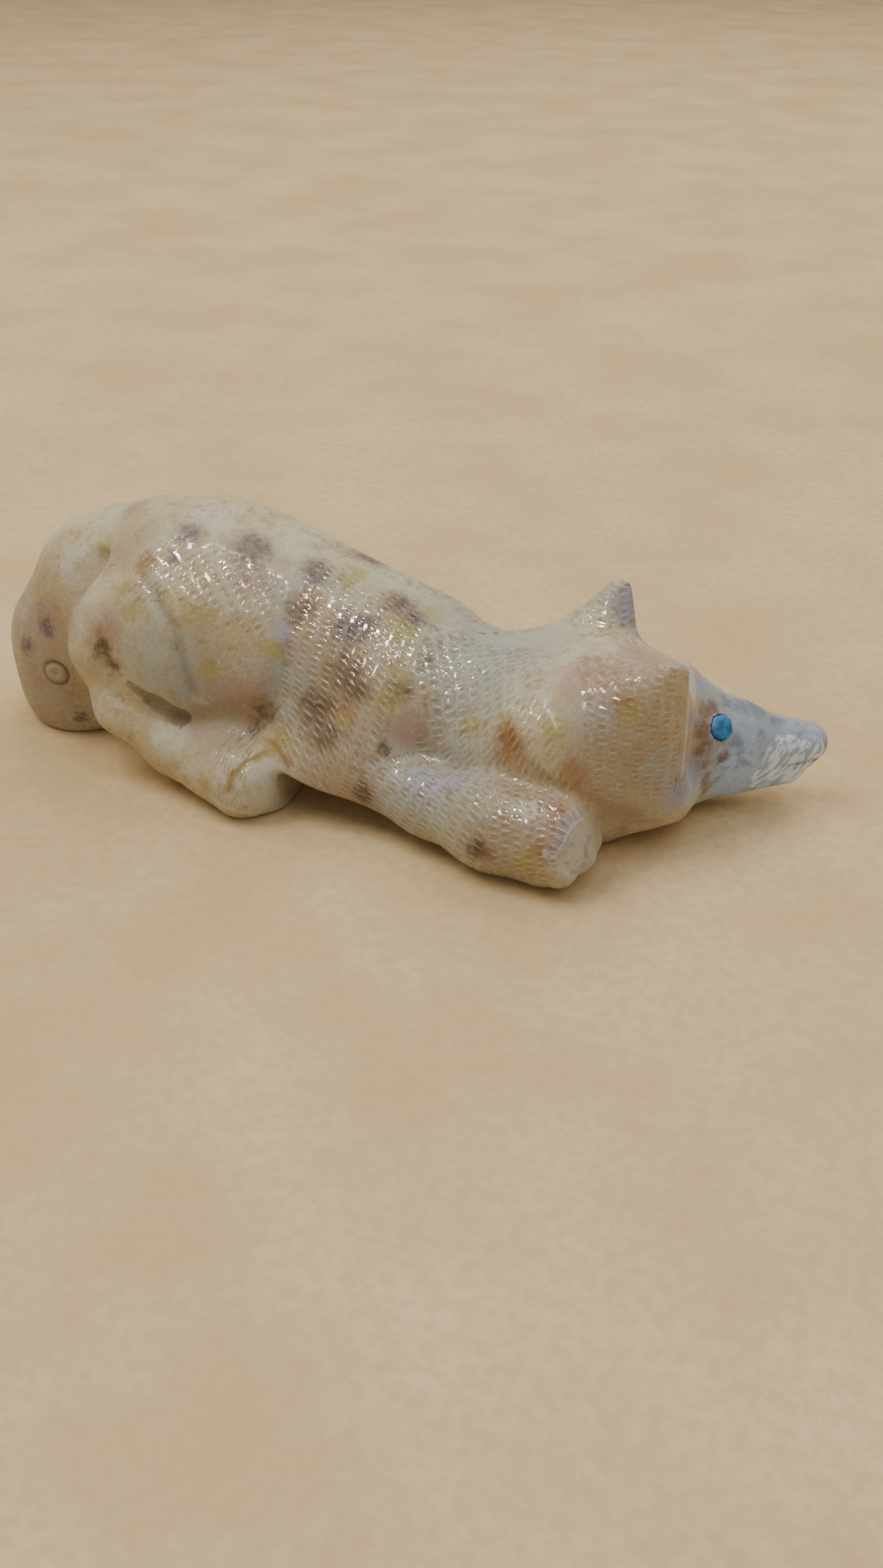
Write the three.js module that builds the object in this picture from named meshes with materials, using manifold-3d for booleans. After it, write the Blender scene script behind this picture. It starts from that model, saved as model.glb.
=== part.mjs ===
// A crouching fox carved from one banded stone, with a round turquoise inlay for each eye.
// Millimetres, +X from tail to nose, +Y to the fox's left, +Z up, origin on the ground under its middle.
import * as THREE from "three";
import { mergeVertices } from "three/addons/utils/BufferGeometryUtils.js";
import Module from "manifold-3d";

const wasm = await Module();
wasm.setup();

// Driving dimensions, in millimetres
const LENGTH = 78; // tail to nose
const EYE_DIAMETER = 2.3;
const EYE_DEPTH = 1.3; // how far an inlay reaches into the stone
const EYE_DOME = 0.3; // how far its middle stands proud of the cheek
const FIT_GAP = 0.3; // left round and under each inlay
const EYE_SIDES = 20;
const DOME_STEPS = 3;

// The carving's proportions are in hundredths of the length, and its angles in degrees.
// Paired forms are given for the right side, where y is negative.
const UNIT = LENGTH / 100;

// A ball is a stretched sphere: its middle and its three radii.
const ball = (at, radii) => ({ at, radii });
// A limb is a row of stations, each with a middle and a radius.
const station = (x, y, z, radius) => ({ at: [x, y, z], radius });

const TRUNK = {
  rump: ball([27.2, 0, 15.0], [19.3, 13.4, 14.8]),
  ribs: ball([46.8, 0, 11.4], [16.7, 12.9, 11.2]),
  chest: ball([59.6, -0.6, 7.7], [10.3, 9.3, 7.2]),
  nape: [station(57.1, -0.6, 8.0, 7.2), station(72.5, -2.8, 9.3, 7.6)],
  neck: ball([70.5, -3.6, 8.2], [14.5, 10.6, 7.4]),
  brisket: ball([67.4, -0.6, 3.1], [14.1, 15.4, 4.6]),
  belly: ball([28.0, 0, 4.0], [15.0, 11.0, 5.0]),
};
const TAIL = [
  station(21.1, 0, 19.6, 8.0),
  station(13.5, -0.3, 17.4, 8.3),
  station(8.9, -0.8, 10.3, 8.0),
  station(8.5, -1.2, 4.6, 8.0),
];
const HAUNCH = ball([24.7, -9.0, 14.1], [10.3, 5.7, 10.5]);
const HIND_LEG = [
  station(23.5, -8.0, 21.6, 2.4),
  station(19.9, -10.2, 19.1, 3.0),
  station(18.0, -10.9, 14.1, 3.1),
  station(20.7, -12.3, 8.3, 3.1),
  station(27.2, -13.6, 5.1, 3.0),
  station(37.3, -15.7, 4.1, 4.8),
];
const WEB = [
  [station(29.0, -10.3, 2.6, 4.2), station(42.9, -11.0, 3.2, 4.4)],
  [station(34.0, -12.2, 3.6, 4.2), station(42.9, -11.4, 3.6, 4.2)],
];
const SHOULDER = ball([50.6, -7.2, 9.8], [10.3, 6.4, 8.7]);
const ELBOW = [station(50.6, -9.0, 9.0, 5.7), station(46.1, -11.3, 5.8, 4.8)];
const BREAST = ball([69.5, -10.8, 9.2], [7.0, 5.0, 6.4]);
const FORELEG = [
  station(45.5, -11.3, 6.6, 4.0),
  station(59.6, -15.1, 5.0, 3.7),
  station(67.5, -16.8, 5.2, 5.1),
  station(73.4, -17.1, 4.9, 5.5),
];
const TOES = [
  ball([75.8, -20.2, 3.3], [2.2, 2.2, 2.2]),
  ball([77.2, -17.4, 3.7], [2.1, 2.1, 2.1]),
  ball([77.1, -14.7, 3.7], [2.1, 2.1, 2.1]),
];
// Grooves cut with a round tool: along the top of the shin, then between the thigh and the belly
const SHIN_GROOVE = [
  station(24.4, -14.8, 12.1, 0.9),
  station(28.8, -14.0, 9.2, 1.3),
];
const THIGH_GROOVE = [
  station(31.0, -15.6, 9.0, 0.7),
  station(37.0, -15.0, 10.2, 1.1),
  station(41.4, -14.0, 14.3, 0.8),
  station(41.8, -12.2, 18.5, 0.1),
];
// The step between hip and tail: its upper end, the way down it, out of the stone and to its steep wall
const NOTCH = {
  top: [19.1, -7.4, 25.8],
  down: [-0.43, -0.5, -0.75],
  out: [-0.15, -0.78, 0.6],
  wall: [0.885, -0.37, -0.26],
  slope: [0.17, -0.861, 0.471],
  deep: 1.4,
  long: 9.5,
};
// The hollow under the belly rises from the elbows back to a wall behind the hind paws.
const ARCH = { from: 64.5, to: 42.0, rise: 0.27 };

// The head turns to the fox's left about a point in the neck, and its forms are drawn from there.
const HEAD = {
  neck: [68.6, -4.1, 0],
  turn: 21,
  ruff: ball([8.4, 0, 10.1], [12.2, 9.5, 9.7]),
  crown: ball([8.8, -5.0, 14.0], [6.8, 6.2, 6.4]),
  crownSlope: { from: 9, height: 20.4, fall: 0.4 },
  cheek: ball([9.4, -5.9, 6.3], [7.8, 5.8, 5.6]),
  jowl: ball([13.0, -4.7, 7.0], [5.0, 4.7, 4.9]),
  ruffFront: 14.9, // the ruff ends here in a flat face, which bulges forward low down
  brow: [station(15.0, 0, 9.9, 7.7), station(20.2, 0, 8.5, 4.6)],
  muzzle: [station(19.8, 0, 8.3, 4.5), station(30.8, 0, 7.6, 2.5)],
  jaw: [station(14.1, 0, 4.7, 5.1), station(28.6, 0, 4.5, 2.3)],
};
// An ear is a cone: its tip, the middle of its root, its slopes fore and aft and across, and its front.
const EAR = { tipRound: 0.17, rootRound: 1.3, bluntRound: 0.9, frontRound: 0.5 };
const RIGHT_EAR = {
  tip: [14.6, -10.1, 24.2],
  root: [7.4, -6.6, 13.0],
  along: 0.64,
  across: 0.46,
  blunt: 1.4,
  frontLean: 0.02,
};
const LEFT_EAR = {
  tip: [10.8, -8.9, 25.9],
  root: [5.8, -5.5, 11.1],
  along: 0.6,
  across: 0.4,
  blunt: 2.0,
  frontLean: 0.12,
};
const EYE_AT = { ahead: 19.8, height: 12.4 }; // in the head's own frame

// How widely each pair of neighbouring forms is blended
const BLEND = {
  trunk: 9.0,
  neck: 5.0,
  underside: 2.6,
  tail: 3.2,
  tailRoot: 3.9,
  haunch: 1.0,
  shoulder: 1.5,
  elbow: 3.2,
  breast: 3.0,
  limb: 1.9,
  web: 2.0,
  webRoot: 3.0,
  shin: 1.0,
  foreleg: 1.2,
  toe: 0.7,
  shinGroove: 0.5,
  thighGroove: 2.2,
  tool: 1.0,
  notch: 0.5,
  notchEnd: 2.5,
  arch: 1.0,
  archWall: 1.5,
  crown: 4.0,
  crownSlope: 2.0,
  cheek: 2.6,
  jowl: 2.0,
  ruffFront: 0.8,
  rightEar: 4.2,
  leftEar: 2.0,
  brow: 3.6,
  jaw: 2.4,
  face: 0.8,
  head: 1.5,
};
// Where a narrow blend widens: from one place along or up the figure to another, and by how much
const WIDENING = {
  nape: { from: 84, to: 74, added: 5.0 },
  foreleg: { from: 62, to: 47, added: 3.9 },
  shin: { from: 10, to: 16, added: 3.2 },
  haunch: { from: 19, to: 25, added: 2.2 },
  ruffFront: { from: 10, to: 4.5, added: 3.0 },
  face: { from: 10, to: 4.5, added: 2.6 },
  jowls: { from: 10, to: 4.5, added: 3.4 }, // how far the ruff's front moves, not a blend
};

// Facets: the spacing of the grid that the surface is read from, in hundredths of the length
const GRID = {
  low: [-4.55, -26.95, -6.35],
  high: [104, 27, 33],
  body: 1.82,
  head: 1.36,
  headFrom: 74,
  side: 1.66,
  upright: 1.62,
};
const SETTLE_STEPS = 3; // times each corner is moved onto the surface
const SETTLE_REACH = 0.4; // the most it moves, in grid spacings
const PROBE = 0.02; // the distance over which a slope is measured
const LEAST_STEEPNESS = 0.5; // keeps a settling step short where blends flatten the distance
const TINY = 1e-9; // keeps a division safe at a ball's very middle
const MERGE = 1e-4; // corners closer than this are one, in millimetres

// Blends two distances into one surface without a crease.
function join(a, b, width) {
  const share = THREE.MathUtils.clamp(0.5 + (0.5 * (b - a)) / width, 0, 1);
  return b * (1 - share) + a * share - width * share * (1 - share);
}

function cut(a, b, width) {
  return -join(-a, -b, width);
}

// Distance to a ball, close to true near its skin
function toBall([x, y, z], { at, radii }) {
  const [dx, dy, dz] = [(x - at[0]) / radii[0], (y - at[1]) / radii[1], (z - at[2]) / radii[2]];
  const reach = Math.hypot(dx, dy, dz);
  const steepness = Math.hypot(dx / radii[0], dy / radii[1], dz / radii[2]);
  return (reach * (reach - 1)) / Math.max(steepness, TINY);
}

// Distance to the tapered rod between two stations
function toRod([x, y, z], a, b) {
  const axis = b.at.map((value, i) => value - a.at[i]);
  const from = [x - a.at[0], y - a.at[1], z - a.at[2]];
  const along = dot(from, axis) / dot(axis, axis);
  const t = THREE.MathUtils.clamp(along, 0, 1);
  const off = from.map((value, i) => value - t * axis[i]);
  return Math.hypot(...off) - THREE.MathUtils.lerp(a.radius, b.radius, t);
}

function toLimb(point, stations, width = BLEND.limb) {
  let distance = toRod(point, stations[0], stations[1]);
  for (let i = 1; i < stations.length - 1; i++) {
    distance = join(distance, toRod(point, stations[i], stations[i + 1]), width);
  }
  return distance;
}

function dot(a, b) {
  return a[0] * b[0] + a[1] * b[1] + a[2] * b[2];
}

// 0 before one place and 1 past the other, with smooth ends; the two may stand either way round
function ramp({ from, to }, place) {
  const done = THREE.MathUtils.smoothstep(place, Math.min(from, to), Math.max(from, to));
  return from < to ? done : 1 - done;
}

function widened(base, widening, place) {
  return base + widening.added * ramp(widening, place);
}

function trunk(p) {
  let d = join(toBall(p, TRUNK.rump), toBall(p, TRUNK.ribs), BLEND.trunk);
  d = join(d, toBall(p, TRUNK.chest), BLEND.neck);
  d = join(d, toLimb(p, TRUNK.nape), BLEND.neck);
  d = join(d, toBall(p, TRUNK.neck), BLEND.neck);
  d = join(d, toBall(p, TRUNK.brisket), BLEND.underside);
  return join(d, toBall(p, TRUNK.belly), BLEND.underside);
}

function tail(p) {
  return toLimb(p, TAIL, BLEND.tail);
}

function hindquarter(q) {
  return join(toBall(q, HAUNCH), toLimb(q, HIND_LEG), widened(BLEND.shin, WIDENING.shin, q[2]));
}

// The low shelf of stone left between the hind leg and the elbow
function web(q) {
  return join(toLimb(q, WEB[0]), toLimb(q, WEB[1]), BLEND.web);
}

function shoulder(q) {
  return join(toBall(q, SHOULDER), toLimb(q, ELBOW), BLEND.elbow);
}

function toes(q) {
  return Math.min(...TOES.map((toe) => toBall(q, toe)));
}

// A steep wall, a slope that rises from its foot towards the tail, and both ends closed
function notch(q) {
  const from = q.map((value, axis) => value - NOTCH.top[axis]);
  const down = dot(from, NOTCH.down);
  const foot = from.map((value, axis) => -NOTCH.deep * NOTCH.out[axis] - value);
  const open = cut(dot(from, NOTCH.wall), dot(foot, NOTCH.slope), BLEND.notch);
  return cut(cut(open, -down, BLEND.notchEnd), down - NOTCH.long, BLEND.notchEnd);
}

function arch(p) {
  return cut(p[2] - ARCH.rise * (ARCH.from - p[0]), ARCH.to - p[0], BLEND.archWall);
}

// A cone with an oval section, cut flat across its front
function ear(h, { tip, root, along, across, blunt, frontLean }) {
  const axis = new THREE.Vector3(...root).sub(new THREE.Vector3(...tip));
  const height = axis.length();
  axis.normalize();
  const ahead = new THREE.Vector3(1, 0, 0).addScaledVector(axis, -axis.x).normalize();
  const aside = new THREE.Vector3().crossVectors(axis, ahead);
  const from = new THREE.Vector3(...h).sub(new THREE.Vector3(...tip));
  const down = from.dot(axis);
  const spread = Math.hypot(from.dot(ahead) / along, from.dot(aside) / across, EAR.tipRound);
  const cone = cut((spread - down) * across, down - height - EAR.rootRound, EAR.rootRound);
  const front = h[0] - tip[0] - frontLean * (tip[2] - h[2]);
  return cut(cut(cone, blunt - down, EAR.bluntRound), front, EAR.frontRound);
}

function face(h) {
  const upper = join(toLimb(h, HEAD.brow), toLimb(h, HEAD.muzzle), BLEND.brow);
  return join(upper, toLimb(h, HEAD.jaw), BLEND.jaw);
}

function head(p) {
  const h = intoHead(p);
  const mirrored = [h[0], -h[1], h[2]];
  let d = join(toBall(h, HEAD.ruff), toBall(h, HEAD.crown), BLEND.crown);
  for (const side of [h, mirrored]) {
    d = join(d, toBall(side, HEAD.cheek), BLEND.cheek);
    d = join(d, toBall(side, HEAD.jowl), BLEND.jowl);
  }
  const { from, height, fall } = HEAD.crownSlope;
  d = cut(d, (h[2] - height + fall * (h[0] - from)) / Math.hypot(1, fall), BLEND.crownSlope);
  const front = h[0] - widened(HEAD.ruffFront, WIDENING.jowls, h[2]);
  d = cut(d, front, widened(BLEND.ruffFront, WIDENING.ruffFront, h[2]));
  d = join(d, ear(h, RIGHT_EAR), BLEND.rightEar);
  d = join(d, ear(mirrored, LEFT_EAR), BLEND.leftEar);
  return join(d, face(h), widened(BLEND.face, WIDENING.face, h[2]));
}

const TURN = THREE.MathUtils.degToRad(HEAD.turn);

function intoHead([x, y, z]) {
  const [dx, dy] = [x - HEAD.neck[0], y - HEAD.neck[1]];
  return [
    dx * Math.cos(TURN) + dy * Math.sin(TURN),
    dy * Math.cos(TURN) - dx * Math.sin(TURN),
    z - HEAD.neck[2],
  ];
}

function outOfHead([x, y, z]) {
  return [
    HEAD.neck[0] + x * Math.cos(TURN) - y * Math.sin(TURN),
    HEAD.neck[1] + y * Math.cos(TURN) + x * Math.sin(TURN),
    HEAD.neck[2] + z,
  ];
}

// Signed distance to the whole carving, in hundredths of its length: negative inside the stone
function fox(p) {
  const sides = [p, [p[0], -p[1], p[2]]];
  let d = join(trunk(p), tail(p), BLEND.tailRoot);
  for (const q of sides) {
    d = join(d, hindquarter(q), widened(BLEND.haunch, WIDENING.haunch, q[0]));
    d = join(d, shoulder(q), BLEND.shoulder);
    d = join(d, toBall(q, BREAST), BLEND.breast);
  }
  d = join(d, head(p), widened(BLEND.head, WIDENING.nape, p[0]));
  for (const q of sides) {
    d = join(d, web(q), BLEND.webRoot);
    d = join(d, toLimb(q, FORELEG), widened(BLEND.foreleg, WIDENING.foreleg, p[0]));
    d = join(d, toes(q), BLEND.toe);
    d = cut(d, -toLimb(q, SHIN_GROOVE, BLEND.tool), BLEND.shinGroove);
    d = cut(d, -toLimb(q, THIGH_GROOVE, BLEND.tool), BLEND.thighGroove);
    d = cut(d, -notch(q), BLEND.notch);
  }
  return cut(d, -arch(p), BLEND.arch);
}

// Outward direction of the surface near a point
function slope(p) {
  const rise = [0, 1, 2].map((axis) => {
    const ahead = [...p];
    const behind = [...p];
    ahead[axis] += PROBE;
    behind[axis] -= PROBE;
    return fox(ahead) - fox(behind);
  });
  const size = Math.hypot(...rise);
  return { normal: rise.map((value) => value / size), steepness: size / (2 * PROBE) };
}

function gridLines(axis) {
  const lines = [GRID.low[axis]];
  while (lines.at(-1) < GRID.high[axis]) {
    const along = lines.at(-1) < GRID.headFrom ? GRID.body : GRID.head;
    lines.push(lines.at(-1) + [along, GRID.side, GRID.upright][axis]);
  }
  return lines;
}

// Reads the surface off a grid: one corner in each cell that it crosses, one four-sided face round
// each grid edge that it crosses.
function carvedSurface() {
  const lines = [0, 1, 2].map(gridLines);
  const [nx, ny, nz] = lines.map((row) => row.length);
  const at = (i, j, k) => (i * ny + j) * nz + k;
  const depth = new Float64Array(nx * ny * nz);
  for (let i = 0; i < nx; i++) {
    for (let j = 0; j < ny; j++) {
      for (let k = 0; k < nz; k++) depth[at(i, j, k)] = fox([lines[0][i], lines[1][j], lines[2][k]]);
    }
  }
  const corners = [];
  const cornerOf = new Map();
  for (let i = 0; i < nx - 1; i++) {
    for (let j = 0; j < ny - 1; j++) {
      for (let k = 0; k < nz - 1; k++) {
        const corner = cellCorner(lines, depth, at, [i, j, k]);
        if (!corner) continue;
        cornerOf.set(at(i, j, k), corners.length);
        corners.push(settled(corner));
      }
    }
  }
  const triangles = [];
  for (let i = 1; i < nx - 1; i++) {
    for (let j = 1; j < ny - 1; j++) {
      for (let k = 1; k < nz - 1; k++) {
        for (const axis of [0, 1, 2]) addFace(triangles, cornerOf, depth, at, [i, j, k], axis);
      }
    }
  }
  return { corners, triangles };
}

// Middle of the places where the surface crosses a cell's edges, or null where it misses the cell
function cellCorner(lines, depth, at, cell) {
  const sum = [0, 0, 0];
  let crossings = 0;
  for (const axis of [0, 1, 2]) {
    const [u, v] = [(axis + 1) % 3, (axis + 2) % 3];
    for (const [du, dv] of [[0, 0], [1, 0], [0, 1], [1, 1]]) {
      const start = [...cell];
      start[u] += du;
      start[v] += dv;
      const end = [...start];
      end[axis] += 1;
      const [a, b] = [depth[at(...start)], depth[at(...end)]];
      if (a < 0 === b < 0) continue;
      const share = a / (a - b);
      for (const k of [0, 1, 2]) sum[k] += THREE.MathUtils.lerp(lines[k][start[k]], lines[k][end[k]], share);
      crossings += 1;
    }
  }
  return crossings ? sum.map((value) => value / crossings) : null;
}

// A corner moved onto the surface, without leaving its cell's neighbourhood
function settled(corner) {
  let point = corner;
  for (let i = 0; i < SETTLE_STEPS; i++) {
    const { normal, steepness } = slope(point);
    const miss = fox(point) / Math.max(steepness, LEAST_STEEPNESS);
    point = point.map((value, axis) => value - miss * normal[axis]);
  }
  const limit = SETTLE_REACH * GRID.head;
  return corner.map((value, axis) => value + THREE.MathUtils.clamp(point[axis] - value, -limit, limit));
}

// Two triangles round the grid edge that starts at a point, if the surface crosses it
function addFace(triangles, cornerOf, depth, at, point, axis) {
  const end = [...point];
  end[axis] += 1;
  const inside = depth[at(...point)] < 0;
  if (inside === depth[at(...end)] < 0) return;
  const [u, v] = [(axis + 1) % 3, (axis + 2) % 3];
  const ring = [[1, 1], [0, 1], [0, 0], [1, 0]].map(([du, dv]) => {
    const cell = [...point];
    cell[u] -= du;
    cell[v] -= dv;
    return cornerOf.get(at(...cell));
  });
  if (!inside) ring.reverse();
  triangles.push(ring[0], ring[1], ring[2], ring[0], ring[2], ring[3]);
}

function solidFrom(positions, indices) {
  const mesh = new wasm.Mesh({
    numProp: 3,
    vertProperties: new Float32Array(positions),
    triVerts: new Uint32Array(indices),
  });
  return new wasm.Manifold(mesh);
}

function solidFromGeometry(geometry) {
  const bare = geometry.clone();
  for (const name of ["normal", "uv"]) bare.deleteAttribute(name);
  const merged = mergeVertices(bare, MERGE);
  return solidFrom(merged.attributes.position.array, merged.index.array);
}

function geometryFrom(solid) {
  const { vertProperties, triVerts } = solid.getMesh();
  const geometry = new THREE.BufferGeometry();
  geometry.setAttribute("position", new THREE.BufferAttribute(new Float32Array(vertProperties), 3));
  geometry.setIndex(new THREE.BufferAttribute(new Uint32Array(triVerts), 1));
  geometry.computeVertexNormals();
  return geometry;
}

// Where an inlay sits: the point on the face at its height, and the way out of the stone there
function eyeSeat(side) {
  const onAxis = (reach) => outOfHead([EYE_AT.ahead, side * reach, EYE_AT.height]);
  let [inner, outer] = [0, HEAD.ruff.radii[1]];
  while (outer - inner > PROBE / 10) {
    const middle = (inner + outer) / 2;
    if (fox(onAxis(middle)) < 0) inner = middle;
    else outer = middle;
  }
  const point = onAxis(inner);
  const outward = new THREE.Vector3(...slope(point).normal);
  return { point: new THREE.Vector3(...point).multiplyScalar(UNIT), outward };
}

// Turns a shape drawn up its own Z axis to stand on the face
function onSeat(geometry, seat) {
  const up = new THREE.Vector3(0, 0, 1);
  const turn = new THREE.Quaternion().setFromUnitVectors(up, seat.outward);
  return geometry.applyQuaternion(turn).translate(...seat.point.toArray());
}

function socket(seat) {
  const radius = EYE_DIAMETER / 2 + FIT_GAP;
  const [floor, mouth] = [-EYE_DEPTH - FIT_GAP, EYE_DIAMETER];
  const bore = new THREE.CylinderGeometry(radius, radius, mouth - floor, EYE_SIDES);
  bore.rotateX(Math.PI / 2).translate(0, 0, (mouth + floor) / 2);
  return solidFromGeometry(onSeat(bore, seat));
}

// A short round plug with a domed end
function inlay(seat) {
  const radius = EYE_DIAMETER / 2;
  const profile = [new THREE.Vector2(0, -EYE_DEPTH), new THREE.Vector2(radius, -EYE_DEPTH)];
  for (let i = 0; i <= DOME_STEPS; i++) {
    const angle = (i / DOME_STEPS) * (Math.PI / 2);
    profile.push(new THREE.Vector2(radius * Math.cos(angle), EYE_DOME * Math.sin(angle)));
  }
  profile.at(-1).x = 0;
  const plug = new THREE.LatheGeometry(profile, EYE_SIDES).rotateX(Math.PI / 2);
  return onSeat(plug, seat);
}

function material(name, color, roughness) {
  return new THREE.MeshStandardMaterial({ name, color, roughness, metalness: 0 });
}

function stoneBody(seats) {
  const { corners, triangles } = carvedSurface();
  let solid = solidFrom(corners.flat().map((value) => value * UNIT), triangles);
  const ground = new THREE.BoxGeometry(2 * LENGTH, 2 * LENGTH, LENGTH).translate(LENGTH / 2, 0, -LENGTH / 2);
  solid = solid.subtract(solidFromGeometry(ground));
  for (const seat of seats) solid = solid.subtract(socket(seat));
  return geometryFrom(solid);
}

const stone = material("stone", 0xb3a48c, 0.3);
const turquoise = material("turquoise", 0x1f6f86, 0.45);
const EYES = { right_eye: -1, left_eye: 1 };
const seats = Object.values(EYES).map(eyeSeat);

const figure = new THREE.Group();
const body = new THREE.Mesh(stoneBody(seats), stone);
body.name = "fox_body";
figure.add(body);
Object.keys(EYES).forEach((name, i) => {
  const eye = new THREE.Mesh(inlay(seats[i]), turquoise);
  eye.name = name;
  figure.add(eye);
});

// The origin goes on the ground under the middle of the figure's outline.
const box = new THREE.Box3().setFromObject(figure);
const middle = box.getCenter(new THREE.Vector3());
figure.position.set(-middle.x, -middle.y, -box.min.z);

export default figure;
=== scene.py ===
import math

import bpy
import numpy as np
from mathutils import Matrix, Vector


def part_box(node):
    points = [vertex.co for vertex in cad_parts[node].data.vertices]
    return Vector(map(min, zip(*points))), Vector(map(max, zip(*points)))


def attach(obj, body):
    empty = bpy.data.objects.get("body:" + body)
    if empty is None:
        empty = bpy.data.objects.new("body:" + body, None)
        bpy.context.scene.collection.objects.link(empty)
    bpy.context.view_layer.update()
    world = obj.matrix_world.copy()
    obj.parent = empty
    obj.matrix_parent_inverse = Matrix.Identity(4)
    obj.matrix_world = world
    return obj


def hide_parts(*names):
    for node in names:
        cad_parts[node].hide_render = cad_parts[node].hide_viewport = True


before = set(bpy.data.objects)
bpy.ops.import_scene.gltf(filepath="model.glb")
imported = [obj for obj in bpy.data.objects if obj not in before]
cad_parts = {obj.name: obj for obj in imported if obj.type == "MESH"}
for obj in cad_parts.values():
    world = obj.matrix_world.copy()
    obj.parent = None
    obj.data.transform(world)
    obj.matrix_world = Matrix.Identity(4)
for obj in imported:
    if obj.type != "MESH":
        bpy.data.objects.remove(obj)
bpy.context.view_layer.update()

# The stone, roughed out. One piece of banded cream stone is ground on a wheel to a crouching fox: an egg or a
# rod for each mass, each run into the next with the fillet that the wheel leaves. It is drawn in hundredths of
# the length, with +X towards the nose, and rests on its belly and feet.
HEAD_TURN = math.radians(21)
NECK = np.array((68.6, -4.1, 0.0))
EAR_CUT = 14.9


def rise(low, high, value):
    """0 below low, 1 above high, and the smooth cubic 3t^2 - 2t^3 between them."""
    t = np.clip((value - low) / (high - low), 0, 1)
    return t * t * (3 - 2 * t)


def fall(low, high, value):
    """1 below low, 0 above high: one minus the rise."""
    return 1 - rise(low, high, value)


def join(a, b, reach):
    """Smooth minimum of two distances: where they differ by less than reach, a parabola fills the corner."""
    share = np.clip(0.5 + 0.5 * (b - a) / reach, 0, 1)
    return b + (a - b) * share - reach * share * (1 - share)


def cut(a, b, reach):
    """Smooth maximum of two distances: the minimum of their negatives, turned back."""
    return -join(-a, -b, reach)


def egg(points, centre, radii):
    """Distance to an ellipsoid: how far out in radii, times the local radius along the gradient."""
    offset = points - centre
    radii = np.array(radii, float)
    reached = np.linalg.norm(offset / radii, axis=1)
    return reached * (reached - 1) / np.maximum(np.linalg.norm(offset / radii ** 2, axis=1), 1e-9)


def rod(points, start, end, first, last):
    """Distance to a round rod: to the nearest point of its axis, less a radius that runs from first to last."""
    start, axis = np.array(start, float), np.subtract(end, start)
    along = np.clip((points - start) @ axis / (axis @ axis), 0, 1)
    return np.linalg.norm(points - start - along[:, None] * axis, axis=1) - (first + (last - first) * along)


def limb(points, stations, fillet):
    """Rods from station to station, joined in turn. A station is a place and the radius there."""
    made = None
    for a, b in zip(stations, stations[1:]):
        piece = rod(points, a[:3], b[:3], a[3], b[3])
        made = piece if made is None else join(made, piece, fillet)
    return made


def trunk(p):
    """Eggs for rump, ribs, chest, throat, brisket and belly, and a rod for the neck, joined in turn."""
    rump_and_ribs = join(egg(p, (27.2, 0, 15), (19.3, 13.4, 14.8)), egg(p, (46.8, 0, 11.4), (16.7, 12.9, 11.2)), 9)
    made = join(rump_and_ribs, egg(p, (59.6, -0.6, 7.7), (10.3, 9.3, 7.2)), 5)
    made = join(made, rod(p, (57.1, -0.6, 8), (72.5, -2.8, 9.3), 7.2, 7.6), 5)
    made = join(made, egg(p, (70.5, -3.6, 8.2), (14.5, 10.6, 7.4)), 5)
    made = join(made, egg(p, (67.4, -0.6, 3.1), (14.1, 15.4, 4.6)), 2.6)
    return join(made, egg(p, (28, 0, 4), (15, 11, 5)), 2.6)


def tail(p):
    """The blunt tail, down the end of the rump to the floor: a limb of three rods."""
    return limb(p, [(21.1, 0, 19.6, 8), (13.5, -0.3, 17.4, 8.3), (8.9, -0.8, 10.3, 8), (8.5, -1.2, 4.6, 8)], 3.2)


def haunch(q):
    """The thigh, one egg. Here and below, q is a point laid over onto the right side."""
    return egg(q, (24.7, -9, 14.1), (10.3, 5.7, 10.5))


def hind_leg(q):
    """From the hip down behind the thigh, then forward along the floor to the paw: a limb of five rods."""
    return limb(q, [(23.5, -8, 21.6, 2.4), (19.9, -10.2, 19.1, 3), (18, -10.9, 14.1, 3.1), (20.7, -12.3, 8.3, 3.1),
                    (27.2, -13.6, 5.1, 3), (37.3, -15.7, 4.1, 4.8)], 1.9)


def web(q):
    """The low stone that is left between hind leg and belly: two rods along the floor, joined."""
    return join(rod(q, (29, -10.3, 2.6), (42.9, -11, 3.2), 4.2, 4.4),
                rod(q, (34, -12.2, 3.6), (42.9, -11.4, 3.6), 4.2, 4.2), 2)


def shoulder(q):
    """An egg for the shoulder and a rod from it to the elbow, joined."""
    return join(egg(q, (50.6, -7.2, 9.8), (10.3, 6.4, 8.7)), rod(q, (50.6, -9, 9), (46.1, -11.3, 5.8), 5.7, 4.8), 3.2)


def foreleg(q):
    """From the elbow forward along the floor to the paw: a limb of three rods."""
    return limb(q, [(45.5, -11.3, 6.6, 4), (59.6, -15.1, 5, 3.7), (67.5, -16.8, 5.2, 5.1),
                    (73.4, -17.1, 4.9, 5.5)], 1.9)


def ear(h, tip, back, wide, thick, blunt, lean):
    """An oval cone from the tip down its axis into the head: the oval distance from the axis less the depth below
    the tip. Smooth maxima take the tip off, stop the cone in the head and cut its front flat."""
    tip = np.array(tip, float)
    axis = np.array((-back[0], back[1] - tip[1], back[2] - tip[2]))
    length = np.linalg.norm(axis)
    axis /= length
    across = np.array((1.0, 0, 0)) - axis * axis[0]
    across /= np.linalg.norm(across)
    offset = h - tip
    down = offset @ axis
    spread = np.sqrt((offset @ across / wide) ** 2 + (offset @ np.cross(axis, across) / thick) ** 2 + 0.03)
    made = cut((spread - down) * thick, down - length - 1.3, 1.3)
    made = cut(made, blunt - down, 0.9)
    return cut(made, h[:, 0] - tip[0] - lean * (tip[2] - h[:, 2]), 0.5)


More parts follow.
